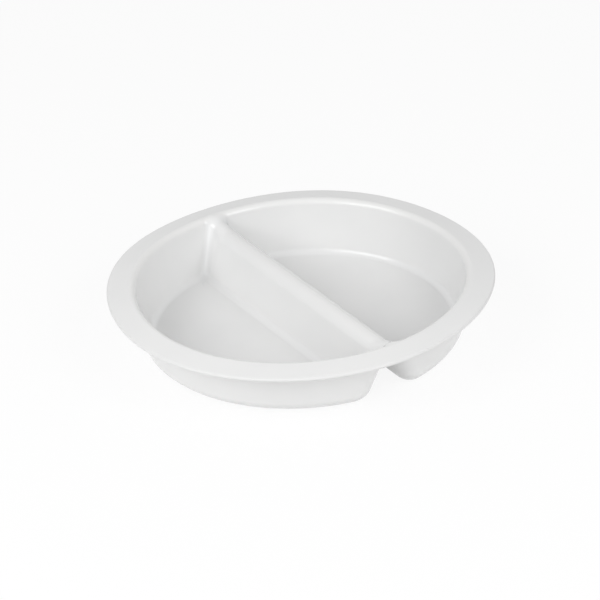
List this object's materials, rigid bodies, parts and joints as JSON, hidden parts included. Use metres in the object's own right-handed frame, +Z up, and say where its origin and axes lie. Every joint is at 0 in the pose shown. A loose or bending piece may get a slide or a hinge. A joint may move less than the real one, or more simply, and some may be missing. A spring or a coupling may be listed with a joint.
{
  "type": "divided food pan",
  "caption": "Round glazed porcelain food pan with a broad hanging rim and half-moon wells side by side, parted by a hollow ridge.",
  "frame": {"origin": "centre of the round pan, on the plane that the floors of the wells stand on", "axes": "+Z up out of the wells, Y along the divider, X from the left well to the right well"},
  "size_m": [0.39, 0.39, 0.0636],
  "materials": {
    "glazed_porcelain": "gloss"
  },
  "bodies": {
    "root": {"rim_flange": "glazed_porcelain", "left_well_wall": "glazed_porcelain", "right_well_wall": "glazed_porcelain", "left_well_floor": "glazed_porcelain", "right_well_floor": "glazed_porcelain", "divider_ridge": "glazed_porcelain", "divider_front_end": "glazed_porcelain", "divider_back_end": "glazed_porcelain"}
  },
  "joints": []
}
